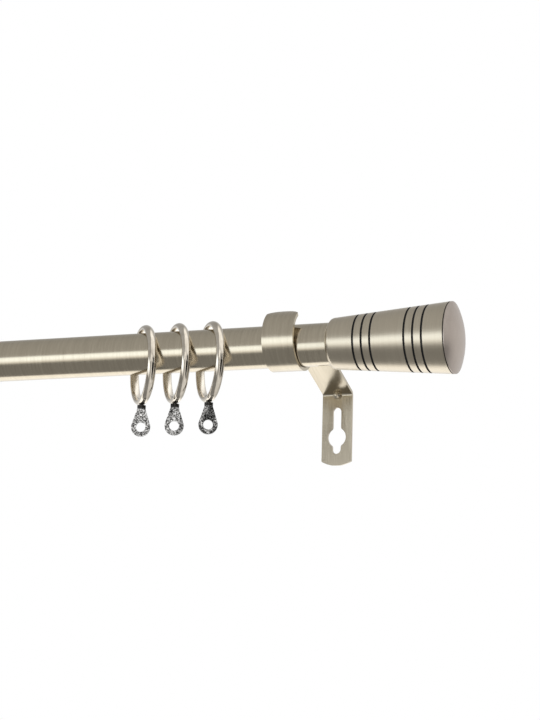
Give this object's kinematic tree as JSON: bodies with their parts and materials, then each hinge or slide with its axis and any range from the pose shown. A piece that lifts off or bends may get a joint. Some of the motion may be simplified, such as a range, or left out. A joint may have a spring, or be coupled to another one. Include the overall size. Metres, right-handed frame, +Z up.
{
  "type": "curtain rod with brackets",
  "caption": "Curtain rod on strap brackets that hang from wall screws, with pull-off turned finials and sliding rings that carry swivel eyes for curtain hooks.",
  "frame": {"origin": "on the wall plane, midway between the two brackets and level with the rod's axis", "axes": "+X along the rod to the right as seen from the room, +Y into the wall, +Z up"},
  "size_m": [0.856, 0.1074, 0.079],
  "materials": {
    "rod": "satin nickel plated, brushed round",
    "strap": "satin nickel plated, brushed",
    "finial": "satin nickel, turned, black grooves",
    "finial_cap": "satin nickel, matt",
    "plug": "black moulded plastic",
    "screw": "zinc plated",
    "ring": "polished nickel",
    "eye": "bright nickel, cast texture"
  },
  "bodies": {
    "brackets": {"bracket_left": "strap", "bracket_right": "strap"},
    "rod": {"rod_tube": "rod"},
    "finial_left": {"finial_body_left": "finial", "finial_cap_left": "finial_cap", "finial_plug_left": "plug", "finial_screw_left": "screw"},
    "finial_right": {"finial_body_right": "finial", "finial_cap_right": "finial_cap", "finial_plug_right": "plug", "finial_screw_right": "screw"},
    "ring_left_1": {"ring_left_1": "ring"},
    "eye_left_1": {"eye_left_1": "eye"},
    "ring_left_2": {"ring_left_2": "ring"},
    "eye_left_2": {"eye_left_2": "eye"},
    "ring_left_3": {"ring_left_3": "ring"},
    "eye_left_3": {"eye_left_3": "eye"},
    "ring_right_1": {"ring_right_1": "ring"},
    "eye_right_1": {"eye_right_1": "eye"},
    "ring_right_2": {"ring_right_2": "ring"},
    "eye_right_2": {"eye_right_2": "eye"},
    "ring_right_3": {"ring_right_3": "ring"},
    "eye_right_3": {"eye_right_3": "eye"}
  },
  "joints": [
    {"name": "rod_slide", "type": "slide", "parent": "brackets", "child": "rod", "axis": [1, 0, 0], "range_m": [-0.0172, 0.0172]},
    {"name": "finial_left_pull", "type": "slide", "parent": "rod", "child": "finial_left", "axis": [-1, 0, 0], "range_m": [0, 0.03]},
    {"name": "finial_right_pull", "type": "slide", "parent": "rod", "child": "finial_right", "axis": [1, 0, 0], "range_m": [0, 0.03]},
    {"name": "ring_left_1_slide", "type": "slide", "parent": "brackets", "child": "ring_left_1", "axis": [1, 0, 0], "range_m": [-0.021, 0.009]},
    {"name": "ring_left_2_slide", "type": "slide", "parent": "brackets", "child": "ring_left_2", "axis": [1, 0, 0], "range_m": [-0.009, 0.009]},
    {"name": "ring_left_3_slide", "type": "slide", "parent": "brackets", "child": "ring_left_3", "axis": [1, 0, 0], "range_m": [-0.009, 0.205]},
    {"name": "ring_right_1_slide", "type": "slide", "parent": "brackets", "child": "ring_right_1", "axis": [1, 0, 0], "range_m": [-0.009, 0.021]},
    {"name": "ring_right_2_slide", "type": "slide", "parent": "brackets", "child": "ring_right_2", "axis": [1, 0, 0], "range_m": [-0.009, 0.009]},
    {"name": "ring_right_3_slide", "type": "slide", "parent": "brackets", "child": "ring_right_3", "axis": [1, 0, 0], "range_m": [-0.205, 0.009]},
    {"name": "eye_left_1_swivel", "type": "hinge", "parent": "ring_left_1", "child": "eye_left_1", "pos_m": [-0.2729, -0.0868, -0.03143], "axis": [0, 0, 1], "continuous": true},
    {"name": "eye_left_2_swivel", "type": "hinge", "parent": "ring_left_2", "child": "eye_left_2", "pos_m": [-0.2509, -0.0868, -0.03143], "axis": [0, 0, 1], "continuous": true},
    {"name": "eye_left_3_swivel", "type": "hinge", "parent": "ring_left_3", "child": "eye_left_3", "pos_m": [-0.2289, -0.0868, -0.03143], "axis": [0, 0, 1], "continuous": true},
    {"name": "eye_right_1_swivel", "type": "hinge", "parent": "ring_right_1", "child": "eye_right_1", "pos_m": [0.2729, -0.0868, -0.03143], "axis": [0, 0, 1], "continuous": true},
    {"name": "eye_right_2_swivel", "type": "hinge", "parent": "ring_right_2", "child": "eye_right_2", "pos_m": [0.2509, -0.0868, -0.03143], "axis": [0, 0, 1], "continuous": true},
    {"name": "eye_right_3_swivel", "type": "hinge", "parent": "ring_right_3", "child": "eye_right_3", "pos_m": [0.2289, -0.0868, -0.03143], "axis": [0, 0, 1], "continuous": true}
  ]
}
